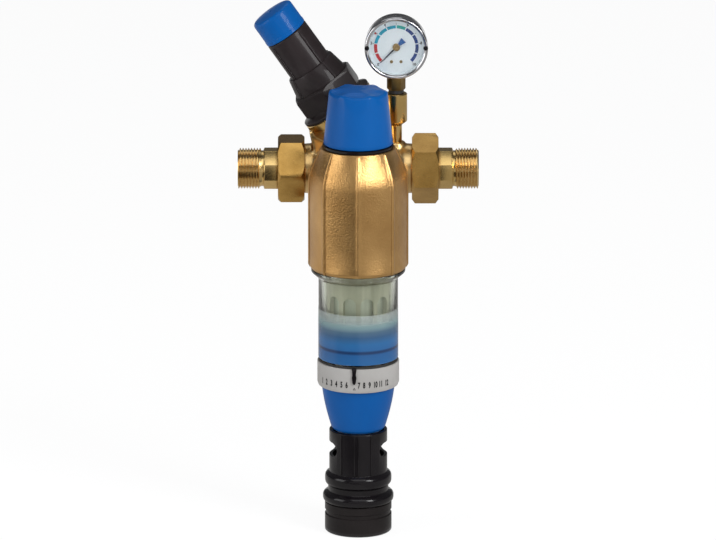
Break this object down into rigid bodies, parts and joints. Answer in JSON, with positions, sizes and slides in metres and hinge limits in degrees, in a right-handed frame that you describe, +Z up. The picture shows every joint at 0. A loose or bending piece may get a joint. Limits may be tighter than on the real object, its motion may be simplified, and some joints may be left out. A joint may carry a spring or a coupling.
{
  "type": "domestic water station",
  "caption": "Domestic water station: backwash filter with clear bowl, leaning pressure reducer, pressure gauge, union ends and drain connection with an air gap.",
  "frame": {"origin": "middle of the pipe run, on the axis of the two union ends", "axes": "+X along the pipe run to the outlet, -Y to the viewer and to the filter bowl, +Z up along the filter's axis"},
  "size_m": [0.197, 0.1299, 0.4307],
  "materials": {
    "brass": "machined and lightly polished brass",
    "nut_brass": "satin forged brass, a little darker",
    "cast_bronze": "satin cast bronze",
    "blue_plastic": "moulded blue plastic, satin",
    "black_plastic": "moulded black plastic, satin",
    "grey_plastic": "moulded light grey plastic with printed plain numbers",
    "white_plastic": "moulded off-white plastic",
    "needle_black": "painted pointer",
    "dial_white": "white printed dial",
    "clear_plastic": "clear moulded plastic, tinted blue towards its foot",
    "clear_glass": "clear gauge window",
    "rubber": "black sealing rubber",
    "steel": "stainless steel",
    "chrome": "polished steel bezel"
  },
  "bodies": {
    "station": {"pipe_body": "brass", "inlet_tail": "brass", "outlet_tail": "brass", "inlet_gasket": "rubber", "outlet_gasket": "rubber", "neck_seal": "rubber", "check_cartridge": "white_plastic", "check_spring": "steel", "filter_bell": "cast_bronze", "wheel_base_ring": "black_plastic", "gland_bush": "brass", "spindle_seal": "rubber", "bowl": "clear_plastic", "bowl_seal": "rubber", "cage_head": "white_plastic", "filter_cage": "white_plastic", "filter_mesh": "steel", "drain_cone": "blue_plastic", "air_gap_collar": "black_plastic", "drain_socket": "black_plastic", "drain_sleeve": "black_plastic", "bonnet": "black_plastic", "main_spring": "steel", "diaphragm": "rubber", "reducer_cartridge": "black_plastic", "gauge_riser": "brass", "gauge_seal": "brass", "gauge_stem": "nut_brass", "gauge_case": "steel", "gauge_bezel": "chrome", "gauge_window": "clear_glass", "gauge_dial": "dial_white", "gauge_movement": "brass", "bourdon_tube": "brass"},
    "wheel": {"handwheel": "blue_plastic", "spindle": "brass", "suction_rotor": "white_plastic"},
    "drain_plug": {"drain_valve": "black_plastic"},
    "month_ring": {"memory_ring": "grey_plastic"},
    "rider": {"ring_pointer": "black_plastic"},
    "inlet_union_nut": {"inlet_nut": "nut_brass"},
    "outlet_union_nut": {"outlet_nut": "nut_brass"},
    "cap": {"adjusting_cap": "blue_plastic", "adjusting_screw": "brass"},
    "spring_seat": {"spring_plate": "steel"},
    "reducing_valve": {"reducer_stem": "brass", "stem_nut": "steel", "diaphragm_plate": "brass"},
    "check_valve": {"check_poppet": "white_plastic"},
    "needle": {"gauge_needle": "needle_black"}
  },
  "joints": [
    {"name": "handwheel_turn", "type": "hinge", "parent": "station", "child": "wheel", "pos_m": [0, -0.058, 0.0361], "axis": [0, 0, 1], "range_deg": [0, 360]},
    {"name": "drain_valve_slide", "type": "slide", "parent": "station", "child": "drain_plug", "axis": [0, 0, -1], "range_m": [0, 0.006]},
    {"name": "month_ring_turn", "type": "hinge", "parent": "station", "child": "month_ring", "pos_m": [0, -0.058, -0.158], "axis": [0, 0, 1], "continuous": true},
    {"name": "pointer_turn", "type": "hinge", "parent": "month_ring", "child": "rider", "pos_m": [0, -0.058, -0.151], "axis": [0, 0, 1], "range_deg": [-50, 50]},
    {"name": "inlet_nut_turn", "type": "hinge", "parent": "station", "child": "inlet_union_nut", "pos_m": [-0.0547, 0, 0], "axis": [-1, 0, 0], "continuous": true},
    {"name": "outlet_nut_turn", "type": "hinge", "parent": "station", "child": "outlet_union_nut", "pos_m": [0.0547, 0, 0], "axis": [1, 0, 0], "continuous": true},
    {"name": "adjusting_cap_turn", "type": "hinge", "parent": "station", "child": "cap", "pos_m": [-0.06535, 0, 0.12304], "axis": [-0.5736, 0, 0.8192], "range_deg": [-540, 540]},
    {"name": "spring_plate_slide", "type": "slide", "parent": "station", "child": "spring_seat", "axis": [-0.5736, 0, 0.8192], "range_m": [-0.00225, 0.00225], "deforming": ["main_spring"]},
    {"name": "reducer_valve_slide", "type": "slide", "parent": "station", "child": "reducing_valve", "axis": [-0.5736, 0, 0.8192], "range_m": [-0.0015, 0.0015], "stiffness_N_per_m": 3000, "deforming": ["diaphragm"]},
    {"name": "check_valve_slide", "type": "slide", "parent": "station", "child": "check_valve", "axis": [1, 0, 0], "range_m": [0, 0.005], "stiffness_N_per_m": 80, "springref_m": -0.002, "deforming": ["check_spring"]},
    {"name": "needle_turn", "type": "hinge", "parent": "station", "child": "needle", "pos_m": [0.031, -0.008, 0.104], "axis": [0, 1, 0], "range_deg": [0, 270], "stiffness_Nm_per_rad": 0.0002, "springref_deg": -28.65}
  ],
  "couplings": [
    {"joint": "drain_valve_slide", "follows": "handwheel_turn", "m_per_rad": 0.00095},
    {"joint": "spring_plate_slide", "follows": "adjusting_cap_turn", "m_per_rad": 0.000238}
  ]
}
